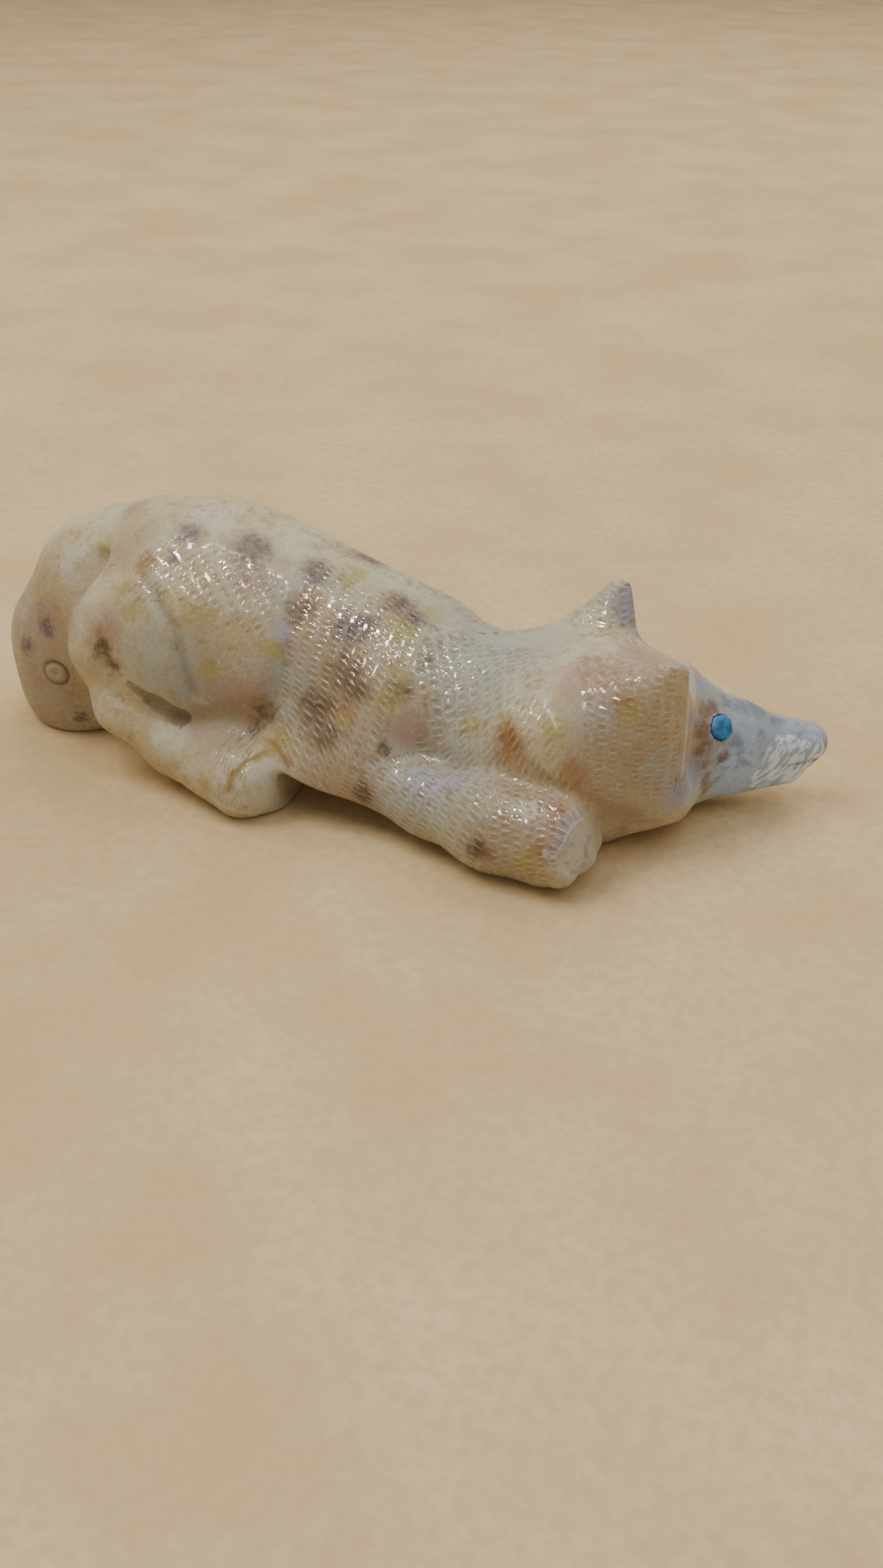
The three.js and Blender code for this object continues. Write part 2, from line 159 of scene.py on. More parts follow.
def face(h):
    """Two rods end to end for the muzzle's top and one for the jaw, each thinner towards the nose, joined."""
    made = rod(h, (15, 0, 9.9), (20.2, 0, 8.5), 7.7, 4.6)
    made = join(made, rod(h, (19.8, 0, 8.3), (30.8, 0, 7.6), 4.5, 2.5), 3.6)
    return join(made, rod(h, (14.1, 0, 4.7), (28.6, 0, 4.5), 5.1, 2.3), 2.4)


def head(h):
    """Eggs for skull, right brow, cheeks and ruff, planed off on top and in front by smooth maxima, with the ears
    and the face joined on. h is a point in the head's own frame."""
    made = egg(h, (8.4, 0, 10.1), (12.2, 9.5, 9.7))
    made = join(made, egg(h, (8.8, -5, 14), (6.8, 6.2, 6.4)), 4)
    for side in (1, -1):
        made = join(made, egg(h * (1, side, 1), (9.4, -5.9, 6.3), (7.8, 5.8, 5.6)), 2.6)
        made = join(made, egg(h * (1, side, 1), (13, -4.7, 7), (5, 4.7, 4.9)), 2)
    made = cut(made, (h[:, 2] - 20.4 + 0.4 * (h[:, 0] - 9)) / 1.08, 2)
    low = fall(4.5, 10, h[:, 2])
    made = cut(made, h[:, 0] - EAR_CUT - 3.4 * low, 0.8 + 3 * low)
    made = join(made, ear(h, (14.6, -10.1, 24.2), (7.2, -6.6, 13), 0.64, 0.46, 1.4, 0.02), 4.2)
    made = join(made, ear(h * (1, -1, 1), (10.8, -8.9, 25.9), (5, -5.5, 11.1), 0.6, 0.4, 2, 0.12), 2)
    return join(made, face(h), 0.8 + 2.6 * low)


def in_head(p):
    """Points in the head's own frame: less the neck's pivot, then turned back by the head's turn."""
    c, s = math.cos(HEAD_TURN), math.sin(HEAD_TURN)
    return (p - NECK) @ np.array(((c, -s, 0), (s, c, 0), (0, 0, 1)))


def toes(q):
    """Three small balls round the front of each forepaw: the least of their distances."""
    balls = [(75.8, -20.2, 3.3, 2.2), (77.2, -17.4, 3.7, 2.1), (77.1, -14.7, 3.7, 2.1)]
    made = None
    for x, y, z, radius in balls:
        ball = np.linalg.norm(q - (x, y, z), axis=1) - radius
        made = ball if made is None else np.minimum(made, ball)
    return made


def notch(q):
    """The step behind the hip: left of a steep wall and over a slope that starts below its foot, the two and
    both ends brought together by smooth maxima."""
    top, along, out = np.array((19.1, -7.4, 25.8)), np.array((-0.43, -0.5, -0.75)), np.array((-0.15, -0.78, 0.6))
    right = np.array((0.885, -0.37, -0.26))
    slope = (out * 4 + right * 1.5) / 4.27
    offset = q - top
    down = offset @ along
    made = cut(offset @ right, (-1.4 * out - offset) @ slope, 0.5)
    return cut(cut(made, -down, 2.5), down - 9.5, 2.5)


def fox(p):
    """Signed distance to the whole carving, in hundredths: negative inside the stone. The masses are joined; then the
    slits behind the knee and along the flank, the notch, the arch under the chin and the floor are cut away."""
    made = join(trunk(p), tail(p), 3.9)
    sides = [p * (1, side, 1) for side in (1, -1)]
    for q in sides:
        legs = join(haunch(q), hind_leg(q), 1 + 3.2 * rise(10, 16, q[:, 2]))
        made = join(join(made, legs, 1 + 2.2 * rise(19, 25, q[:, 0])), shoulder(q), 1.5)
        made = join(made, egg(q, (69.5, -10.8, 9.2), (7, 5, 6.4)), 3)
    made = join(made, head(in_head(p)), 1.5 + 5 * fall(74, 84, p[:, 0]))
    for q in sides:
        made = join(made, web(q), 3)
        made = join(made, foreleg(q), 1.2 + 3.9 * fall(47, 62, p[:, 0]))
        made = join(made, toes(q), 0.7)
        made = cut(made, -limb(q, [(23.5, -14.5, 12.7, 0.5), (26.4, -14, 10.8, 1), (28.8, -13.4, 9.3, 1.2)], 1), 0.5)
        made = cut(made, -limb(q, [(31, -15.6, 9, 0.7), (37, -15, 10.2, 1.1), (41.4, -14, 14.3, 0.8),
                                   (41.8, -12.2, 18.5, 0.1)], 1), 2.2)
        made = cut(made, -notch(q), 0.5)
    arch = cut(p[:, 2] - 0.27 * (64.5 - p[:, 0]), 42 - p[:, 0], 1.5)
    made = cut(made, -arch, 1)
    return cut(made, -p[:, 2], 0.4)


def skin(shape, low, high, step):
    """Surface nets: one point in each grid cell that the surface crosses, at the mean of the crossings on the
    cell's edges, and one square for each grid edge that it crosses. Returns points and triangles."""
    ax = [np.arange(a, b + step, step) for a, b in zip(low, high)]
    grid = np.stack(np.meshgrid(*ax, indexing="ij"), -1)
    value = shape(grid.reshape(-1, 3)).reshape(grid.shape[:3])
    inside = value < 0
    size = np.array(value.shape) - 1
    count, total = np.zeros(size), np.zeros((*size, 3))
    for axis in range(3):
        others = [a for a in range(3) if a != axis]
        for corner in ((0, 0), (0, 1), (1, 0), (1, 1)):
            start = np.zeros(3, int)
            start[others] = corner
            end = start.copy()
            end[axis] += 1
            a, b = (value[tuple(slice(o, o + n) for o, n in zip(at, size))] for at in (start, end))
            crossed = (a < 0) != (b < 0)
            count += crossed
            for k in range(3):
                part = np.where(crossed, a / np.where(crossed, a - b, 1), 0) if k == axis else start[k]
                total[..., k] += np.where(crossed, part, 0)
    used = count > 0
    number = np.full(count.shape, -1)
    number[used] = np.arange(used.sum())
    points = (np.argwhere(used) + total[used] / count[used][:, None]) * step + [a[0] for a in ax]
    squares = []
    for axis in range(3):
        before, after = [slice(1, -1)] * 3, [slice(1, -1)] * 3
        before[axis], after[axis] = slice(0, -1), slice(1, None)
        a, b = inside[tuple(before)], inside[tuple(after)]
        base = np.argwhere(a != b) + (np.arange(3) != axis)
        ring = []
        for back in ((1, 1), (0, 1), (0, 0), (1, 0)):
            cell = base.copy()
            cell[:, (axis + 1) % 3] -= back[0]
            cell[:, (axis + 2) % 3] -= back[1]
            ring.append(number[tuple(cell.T)])
        ring = np.stack(ring, -1)
        outward = a[a != b]
        ring[~outward] = ring[~outward][:, ::-1]
        squares.append(ring)
    squares = np.concatenate(squares)
    return points, np.concatenate([squares[:, (0, 1, 2)], squares[:, (0, 2, 3)]])


def outward(points, faces):
    """Each point's normal: the sum of its faces' area vectors, made one long."""
    a, b, c = (points[faces[:, k]] for k in range(3))
    area = np.cross(b - a, c - a)
    total = np.stack([sum(np.bincount(faces[:, k], area[:, n], len(points)) for k in range(3))
                      for n in range(3)], -1)
    return total / np.maximum(np.linalg.norm(total, axis=1), 1e-12)[:, None]


def settled(points, faces, shape, times, longest=0.3):
    """Points moved along their normals by the distance that is left to the surface, a few times over."""
    for _ in range(times):
        points = points - outward(points, faces) * np.clip(shape(points), -longest, longest)[:, None]
    return points


def split(points, faces):
    """Each triangle made into four at the middles of its edges."""
    edges = np.sort(np.concatenate([faces[:, (0, 1)], faces[:, (1, 2)], faces[:, (2, 0)]]), axis=1)
    unique, where = np.unique(edges[:, 0] * len(points) + edges[:, 1], return_inverse=True)
    middle = (points[unique // len(points)] + points[unique % len(points)]) / 2
    ab, bc, ca = np.split(where + len(points), 3)
    a, b, c = faces.T
    return (np.concatenate([points, middle]),
            np.concatenate([np.stack(t, -1) for t in ((a, ab, ca), (ab, b, bc), (ca, bc, c), (ab, bc, ca))]))


BLOCK_LOW, BLOCK_HIGH = (-1.5, -25.5, -2.5), (102, 25.5, 32)
CELL = 0.72
stone, facets = skin(fox, BLOCK_LOW, BLOCK_HIGH, CELL)
stone = settled(stone, facets, fox, 3)
for _ in range(2):
    stone, facets = split(stone, facets)
    stone = settled(stone, facets, fox, 1)

# The eye pockets. A round seat is bored in each cheek for the turquoise, square to the cheek there and flat at its
# foot. The sizes are in millimetres. UNIT is a hundredth in metres, and HUNDREDTH is one in millimetres.
EYE_RADIUS = 1.05
POCKET_GAP = 0.05
POCKET_DEPTH = 0.45
POCKET_REACH = 1.2
body_low, body_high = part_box("fox_body")
UNIT = (body_high.x - body_low.x) / np.ptp(stone[:, 0])
MILLIMETRE = 0.001
HUNDREDTH = UNIT / MILLIMETRE
middle = np.array([(stone[:, k].min() + stone[:, k].max()) / 2 for k in range(2)] + [0.0])
placed_middle = np.array([(body_low.x + body_high.x) / 2, (body_low.y + body_high.y) / 2, body_low.z])


def placed(points):
    """Hundredths to metres in the row's frame."""
    return (points - middle) * UNIT + placed_middle


def unplaced(points):
    """Metres in the row's frame back to hundredths."""
    return (np.asarray(points, float) - placed_middle) / UNIT + middle


def slope(point, step=0.05):
    """The surface's direction at one point, from differences of the distance along the three axes."""
    ahead = fox(point + step * np.eye(3)) - fox(point - step * np.eye(3))
    return ahead / np.linalg.norm(ahead)


seats = {}
for name in ("right_eye", "left_eye"):
    low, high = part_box(name)
    place = unplaced((low + high) / 2)
    for _ in range(4):  # The seat slides onto the cheek, along the cheek's own direction.
        direction = slope(place)
        place = place - direction * fox(place[None])[0]
    seats[name] = (place, direction)
    offset = (stone - place) * HUNDREDTH
    height = offset @ direction
    reach = np.linalg.norm(offset - height[:, None] * direction, axis=1)
    near = (np.abs(height) < POCKET_REACH) & (reach < EYE_RADIUS + POCKET_GAP)
    stone[near] -= direction * (POCKET_DEPTH + height[near])[:, None] / HUNDREDTH

# The fur. A small wheel is touched to the stone again and again, so each hair tuft is a shallow oval scoop. The
# scoops stand side by side in columns, each column out of step with the one before it. Each part of the body has
# its own lie: back along the ribs, up over the haunch, down the cheek and along the forelegs.
SCOOP_DEPTH = 0.024  # Millimetres. The places and radii of the back and the foreleg are in hundredths.
OUT_OF_STEP = 0.618
FUR_SCALE = 0.78
BACK = (8, 27, 47, 60, 70)
BACK_CENTRE = (10, 15, 11.4, 7.7, 8.4)
BACK_RADIUS = (9, 14.1, 12, 8.6, 8.2)
LEG_START = np.array((45.5, -11.8, 6.2))
LEG_AXIS = np.array((28.3, -5.2, -0.7))
LEG_RADIUS = 4.9


def folded(points):
    """Both sides laid over onto the right one: y is made negative."""
    return points * np.where(points[:, 1:2] > 0, (1, -1, 1), (1, 1, 1))


def noise(points, size, seed):
    """Smooth noise from -1 to 1: random corner values on a lattice of this size, blended by smooth weights."""
    at = points / size + seed * 7.31
    corner = np.floor(at).astype(np.int64)
    t = at - corner
    t = t * t * (3 - 2 * t)
    total = 0
    for step in np.ndindex(2, 2, 2):
        c = corner + step
        mixed = (c[:, 0] * 73856093) ^ (c[:, 1] * 19349663) ^ (c[:, 2] * 83492791) ^ (seed * 2654435)
        mixed = (mixed ^ (mixed >> 13)) * 1274126177 & 0x7FFFFFFF
        value = (mixed ^ (mixed >> 16)) % 4096 / 2047.5 - 1
        weight = np.prod(np.where(np.array(step) > 0, t, 1 - t), axis=1)
        total = total + weight * value
    return total


def scoops(along, across, boldness):
    """One scoop in each cell, as (scoop, ridge). The scoop is 1 at its deepest and falls by the squares of the two
    distances to 0 at its rim. The ridge is 1 between two scoops of a column and fades along with their width. Each
    cell has its own luck from 0 to 1, the last digits of sums of its column and row, for its size and strength.
    The same sums serve arrays here and shader values below, so they use plain operators only."""
    column = along // 1
    side = along % 1 - 0.5
    stagger = across + OUT_OF_STEP * column
    row = stagger // 1
    luck = (column * 0.7548777 + row * 0.5698403) % 1
    luck = (luck * luck * 57.3 + luck * 13.7) % 1
    height = stagger % 1 - 0.5 + 0.1 * (luck - 0.5)
    half = 0.36 + 0.08 * luck
    width = 1 - (side / half) * (side / half)
    width = (width + abs(width)) * 0.5
    up = height * height * 4
    scoop = 1 - up
    strength = boldness * (0.7 + 0.5 * luck)
    return (scoop + abs(scoop)) * 0.5 * width * strength, width * up * up * strength


def laid(x, v, place, turn, length, pitch):
    """The lie's own coordinates: turned by the angle of its hairs, in hair lengths along and pitches across."""
    c, s = math.cos(math.radians(turn)), math.sin(math.radians(turn))
    x, v = x - place[0], v - place[1]
    return (x * c + v * s) / length, (v * c - x * s) / pitch


def fur(points):
    """Three layers of (along, across, boldness). Neighbouring lies are never in the same layer. X and H run along the
    body and the head; V, W and D run round the back, round the foreleg and down the cheek: angle times radius, or
    height. Each lie is bold inside its limits and fades across them."""
    q = folded(points)
    h = in_head(points)
    g = folded(h)
    x, y, z = q.T
    centre = np.interp(x, BACK, BACK_CENTRE)
    radius = np.interp(x, BACK, BACK_RADIUS)
    bend = 0.5 * noise(points, 7, 1)
    X = x * FUR_SCALE + bend
    V = np.arctan2(-y, z - centre) * radius * FUR_SCALE + 0.4 * noise(points, 6, 2)
    on_leg = fall(0.2, 1.1, foreleg(q))
    on_head = fall(0.2, 1.4, head(h))
    off_feet = rise(0.3, 1.3, np.minimum(np.minimum(hind_leg(q), web(q)), foreleg(q)))
    body = (1 - on_leg) * (1 - on_head)
    share = (q - LEG_START) @ LEG_AXIS / (LEG_AXIS @ LEG_AXIS)
    round_leg = q - LEG_START - share[:, None] * LEG_AXIS
    W = np.arctan2(-round_leg[:, 1], round_leg[:, 2]) * LEG_RADIUS * FUR_SCALE + 0.3 * noise(points, 6, 3)
    H = g[:, 0] * FUR_SCALE + bend * 0.5
    D = -g[:, 2] * FUR_SCALE

    def lie(coordinates, boldness):
        """The two coordinates and how boldly the lie is cut, side by side."""
        return np.stack([*coordinates, boldness], -1)

    row_of_tufts = 0.3 + 0.7 * rise(4.4, 6.5, V) * fall(9, 11.5, V)
    layers = [
        [lie(laid(X, V, (25, 8), -52, 1.2, 0.62),
             body * off_feet * rise(17, 19, X) * fall(30.6, 31.6, X) * rise(3, 5, V) * fall(14, 18, V) * row_of_tufts),
         lie(laid(X, V, (55, 5), -50, 1.05, 0.50), body * rise(52.2, 53.6, X) * rise(0.8, 2.4, V) * fall(8.6, 10, V)),
         lie(laid(X, W, (46, 4), 19, 1.2, 0.55), on_leg * rise(33.6, 35, X) * fall(52.4, 53.2, X) * fall(9, 11, W))],
        [lie(laid(X, V, (36, 8), 6, 1.1, 0.54),
             body * off_feet * rise(31.9, 32.8, X) * fall(42.4, 43.2, X) * rise(0.4, 1.6, V) * fall(17, 19, V)),
         lie(laid(H, D, (8, -12), 4, 1.05, 0.52),
             on_head * rise(2.2, 3.6, H) * fall(10.6, 10.95, H) * fall(-7.4, -5.6, D)
             * (0.7 + 0.3 * rise(8.3, 9.4, H)) * rise(0.15, 0.3, -g[:, 1] / 9)),
         lie(laid(X, V, (48, 8.5), -40, 2.1, 0.40),
             body * rise(44.2, 45.2, X) * fall(53, 54.4, X) * rise(7.2, 8.2, V) * 0.9)],
        [lie(laid(X, V, (45, 4), -28, 1.1, 0.56),
             body * rise(43, 43.6, X) * fall(52.6, 53.6, X) * rise(0.4, 1.6, V) * fall(7.4, 8.2, V)),
         lie(laid(X, W, (56, 4), -10, 1.0, 0.52), on_leg * rise(52.8, 53.6, X) * fall(59, 59.5, X) * fall(9, 11, W)),
         lie(laid(X, z * FUR_SCALE, (30, 6), 70, 1.4, 0.45),
             fall(0.2, 0.9, np.minimum(web(q), hind_leg(q))) * rise(27, 28, X) * fall(30.6, 31.4, X))],
    ]
    chosen = []
    for lies in layers:
        best = np.argmax([one[:, 2] for one in lies], axis=0)
        chosen.append(np.stack(lies)[best, np.arange(len(points))])
    return chosen


# Three marks beside the fur: the ring with a dot at the tail's end, the hollow behind the knee, and the fold that
# runs down the thigh. The ring is cut with a small hollow drill, deeper on its front side. Places are in hundredths,
# and the ring's sizes and all depths in millimetres.
RING = np.array((10.05, -9.54, 9.25))
RING_RADIUS, RING_WIDTH, RING_CUT = 1.22, 0.22, 0.24
DOT_RADIUS, DOT_CUT = 0.24, 0.12
HOLLOW, HOLLOW_CUT = [(20.0, -14.9, 18.4), (21, -15, 15.2)], 0.3
FOLD, FOLD_CUT = [(23.4, -10, 25.5), (27.5, -12.6, 22.4), (29.5, -13.6, 20), (31.2, -14.2, 12.8)], 0.26


def beside(points, places):
    """The distance to the line through the places, and how far along that line the nearest point lies."""
    nearest, run, start = np.full(len(points), np.inf), np.zeros(len(points)), 0.0
    for a, b in zip(np.array(places[:-1]), np.array(places[1:])):
        length = np.linalg.norm(b - a)
        share = np.clip((points - a) @ (b - a) / length ** 2, 0, 1)
        away = np.linalg.norm(points - a - share[:, None] * (b - a), axis=1)
        run = np.where(away < nearest, start + share * length, run)
        nearest = np.minimum(nearest, away)
        start += length
    return nearest, run


def line_share(points, places, width):
    """1 on a line through the places, falling with the distance in widths as exp(-d^2)."""
    return np.exp(-(beside(points, places)[0] / width) ** 2)


def marks(points):
    """Millimetres of rise or fall of the three marks, on both sides but for the ring. Each is a groove that falls off
    with the distance as exp(-d^2); the ring's is round a circle, with a slight swell inside it."""
    q = folded(points)
    offset = (points - RING) * HUNDREDTH
    away = np.linalg.norm(offset, axis=1)
    front = 0.35 + 0.65 * rise(-1, 1, offset @ (0.75, -0.45, 0.5) / np.maximum(away, 1e-6))
    ring = 0.06 * np.exp(-((away - 0.75) / 0.25) ** 2) - DOT_CUT * np.exp(-(away / DOT_RADIUS) ** 2) \
        - RING_CUT * front * np.exp(-((away - RING_RADIUS) / RING_WIDTH) ** 2)
    return ring - HOLLOW_CUT * line_share(q, HOLLOW, 1.1) - FOLD_CUT * line_share(q, FOLD, 0.9)


# The paws' lines: a crease round each hind paw and one behind it, both stained ochre, with two short toe lines; and
# round each forepaw a fringe of hair loops, with one toe line in front of it. All are cut with the wheel's edge.
HIND_CREASES = [[(37.8, -20.4, 4.9), (38.3, -19.7, 6.7), (39.2, -18.2, 7.7), (40.0, -17.1, 7.9), (40.6, -16.3, 8.1)],
                [(39.5, -14.8, 9.0), (40.9, -15.3, 8.8), (41.8, -15.9, 8.3), (42.8, -16.5, 7.5)]]
TOE_LINES = [[(38.7, -20.3, 4.2), (39.3, -19.8, 2.6), (39.4, -19.4, 1.2)],
             [(39.9, -19.7, 4.8), (40.1, -19.6, 3.6), (40.2, -18.5, 1.4)],
             [(76.5, -21.6, 5.9), (77.1, -21.6, 4.6), (78.0, -20.8, 3.4)]]
FRINGE = np.array([(75.2, -22.2, 6.4), (75.6, -21.9, 6.9), (76.0, -21.4, 7.6), (76.2, -20.7, 8.3), (76.3, -19.9, 8.8),
                   (76.7, -18.7, 9.2), (77.3, -17.5, 9.0)])
LOOP = 1.0
NEAR_FRINGE = 1.5
LOOP_RISE, CREASE_CUT, TOE_CUT = 0.06, 0.18, 0.15


def paw_lines(points):
    """For the looks: how far ahead of the fringe (behind it is negative), how far along it (-1 when not near it), and
    the distance to the nearest crease."""
    q = folded(points)
    away, run = beside(q, FRINGE)
    ahead = np.where(beside(q, FRINGE + (0.05, 0, 0))[0] < away, away, -away)
    crease = np.minimum(*(beside(q, line)[0] for line in HIND_CREASES))
    return np.stack([ahead, np.where(away < NEAR_FRINGE, run, -1), crease], -1)


def paw_relief(points):
    """Millimetres of rise or fall of the paws' lines: each crease and toe line is a groove that falls off as
    exp(-d^2), and the fringe rises and falls along its line as a cosine, one loop after the other."""
    q = folded(points)
    ahead, run, crease = paw_lines(points).T
    loops = LOOP_RISE * np.cos(run * 2 * math.pi / LOOP) * np.exp(-(ahead / 0.6) ** 2)
    toe_lines = sum(line_share(q, line, 0.35) for line in TOE_LINES)
    return loops - CREASE_CUT * np.exp(-(crease / 0.4) ** 2) - TOE_CUT * toe_lines


# The carved stone itself. The wheel's cuts are laid on the roughed-out stone along its own normals, with the ruff's
# sharp rim, the mouth line and the slight waves of hand grinding. The parts that rest on the floor are rubbed flat.
RIM_RISE, MOUTH_CUT = 0.12, 0.22
POLISHED_OFF = 0.09
MOST_TRIANGLES = 195000


def edge_line(h):
    """1 along the front rim of the ruff and ears, in the head's frame: exp(-d^2) of the distance ahead of it."""
    return np.exp(-((h[:, 0] - EAR_CUT + 0.3) / 0.22) ** 2) * rise(8.5, 10.5, h[:, 2]) * rise(3.5, 5, np.abs(h[:, 1]))


def mouth_line(h):
    """1 along the mouth, which climbs a little towards the nose: exp(-d^2) of the height beside it."""
    return np.exp(-((h[:, 2] - 6.2 + 0.05 * (32 - h[:, 0])) / 0.22) ** 2) * rise(26.4, 29, h[:, 0])


depth = sum(scoops(*layer.T)[0] for layer in fur(stone)) * SCOOP_DEPTH
edge, mouth = edge_line(in_head(stone)), mouth_line(in_head(stone))
wave = noise(stone, 5, 4) * 0.05 + noise(stone, 2.2, 5) * 0.02
off_floor = rise(0.2, 1.2, stone[:, 2])
height = (RIM_RISE * edge - depth - MOUTH_CUT * mouth + wave + marks(stone) + paw_relief(stone)
          - POLISHED_OFF) * off_floor
carved = stone + outward(stone, facets) * height[:, None] / HUNDREDTH

mesh = bpy.data.meshes.new("carved_stone")
mesh.from_pydata(placed(carved), [], facets.tolist())
body = bpy.data.objects.new("carved_stone", mesh)
bpy.context.scene.collection.objects.link(body)
if len(facets) > MOST_TRIANGLES:
    thin = body.modifiers.new("thin", "DECIMATE")
    thin.ratio = MOST_TRIANGLES / len(facets)
    bpy.context.view_layer.update()
    thinned = bpy.data.meshes.new_from_object(body.evaluated_get(bpy.context.evaluated_depsgraph_get()))
    body.modifiers.clear()
    body.data = thinned
    bpy.data.meshes.remove(mesh)
    mesh = thinned
mesh.shade_smooth()
where = np.empty(len(mesh.vertices) * 3)
mesh.vertices.foreach_get("co", where)
where = unplaced(where.reshape(-1, 3))
# Painted light kept on each point: a painted highlight along the ruff's rim, and painted shade in the mouth line and
# in the cuts of the marks.
rim_light_and_groove_shade = edge_line(in_head(where)) - 0.9 * mouth_line(in_head(where)) + 2.2 * np.minimum(marks(where), 0)
mesh.attributes.new("rim_light_and_groove_shade", "FLOAT", "POINT").data.foreach_set("value", rim_light_and_groove_shade.astype(np.float32))
for name, layer in zip(("fur_a", "fur_b", "fur_c", "paw_lines"), [*fur(where), paw_lines(where)]):
    mesh.attributes.new(name, "FLOAT_VECTOR", "POINT").data.foreach_set("vector", layer.astype(np.float32).ravel())

# The stone's look: cream with ochre, rust, umber and lilac stains that run through the block. Its bare skin is rubbed
# dull. Where the wheel has cut fur it is bright in patches, with painted shade in the hollows of the scoops and a
# painted highlight on the ridges between them.


class Value:
    """A shader socket that takes part in sums: each operator adds its Math node."""

    def __init__(self, net, socket):
        self.net, self.socket = net, socket

    def maths(self, operation, *others):
        """One Math node, with this value first."""
        return self.net.node("Math", {"operation": operation}, dict(enumerate([self, *others])))

    def __add__(self, other): return self.maths("ADD", other)
    def __radd__(self, other): return self.maths("ADD", other)
    def __sub__(self, other): return self.maths("SUBTRACT", other)
    def __rsub__(self, other): return self.net.node("Math", {"operation": "SUBTRACT"}, {0: other, 1: self})
    def __mul__(self, other): return self.maths("MULTIPLY", other)
    def __rmul__(self, other): return self.maths("MULTIPLY", other)
    def __truediv__(self, other): return self.maths("DIVIDE", other)
    def __floordiv__(self, other): return (self / other).maths("FLOOR")
    def __mod__(self, other): return self.maths("FLOORED_MODULO", other)
    def __abs__(self): return self.maths("ABSOLUTE")

    def least(self, other): return self.maths("MINIMUM", other)

    def between(self, low, high):
        """0 below low and 1 above high, with smooth ends; the other way round if low is the larger."""
        start, end, first, last = (low, high, 0, 1) if low < high else (high, low, 1, 0)
        return self.net.node("MapRange", {"interpolation_type": "SMOOTHSTEP"},
                             {0: self, 1: start, 2: end, 3: first, 4: last})


class Net:
    """A material's node tree, with one method that adds any node."""

    def __init__(self, name):
        self.material = bpy.data.materials.new(name)
        self.material.use_nodes = True
        self.tree = self.material.node_tree
        self.surface = next(n for n in self.tree.nodes if n.type == "BSDF_PRINCIPLED")

    def node(self, kind, settings=None, inputs=None, output=0):
        """A node of a type, with its settings, then the values or links of its sockets; gives one output."""
        made = self.tree.nodes.new("ShaderNode" + kind)
        for key, value in (settings or {}).items():
            setattr(made, key, value)
        self.feed(made, inputs or {})
        return Value(self, made.outputs[output])

    def feed(self, made, inputs):
        """Links each Value to its socket, and sets any other value on the socket itself."""
        for key, value in inputs.items():
            if isinstance(value, Value):
                self.tree.links.new(value.socket, made.inputs[key])
            else:
                made.inputs[key].default_value = value

    def mix(self, share, first, second, way="MIX"):
        """Colours mixed by a share; a colour is (red, green, blue) or a socket."""
        a, b = (c if isinstance(c, Value) else (*c, 1) for c in (first, second))
        return self.node("Mix", {"data_type": "RGBA", "blend_type": way, "clamp_factor": True},
                         {0: share, 6: a, 7: b}, 2)

    def dyed(self, share, colour, tint):
        """A colour mixed by a share with itself times a tint."""
        return self.mix(share, colour, self.mix(1.0, colour, tint, "MULTIPLY"))

    def noise(self, vector, scale, detail=2.0, rough=0.5, output=0, distortion=0.0):
        """Fractal noise round 0.5; the scale is its number of waves to a unit of the vector."""
        return self.node("TexNoise", {"noise_dimensions": "3D"},
                         {"Vector": vector, "Scale": scale, "Detail": detail, "Roughness": rough,
                          "Distortion": distortion}, output)

    def distance(self, place, point):
        """The distance from a place to a fixed point."""
        return self.node("VectorMath", {"operation": "DISTANCE"}, {0: place, 1: point}, 1)

    def nearest(self, place, spots):
        """The distance to the nearest of some spots, each measured in its own reach."""
        found = None
        for x, y, z, reach in spots:
            away = self.distance(place, (x, y, z)) / reach
            found = away if found is None else found.least(away)
        return found

    def parts(self, name):
        """The three numbers of one of the mesh's own attributes."""
        split = self.node("SeparateXYZ", {}, {0: self.node("Attribute", {"attribute_name": name}, output=1)})
        return [Value(self, split.socket.node.outputs[k]) for k in range(3)]


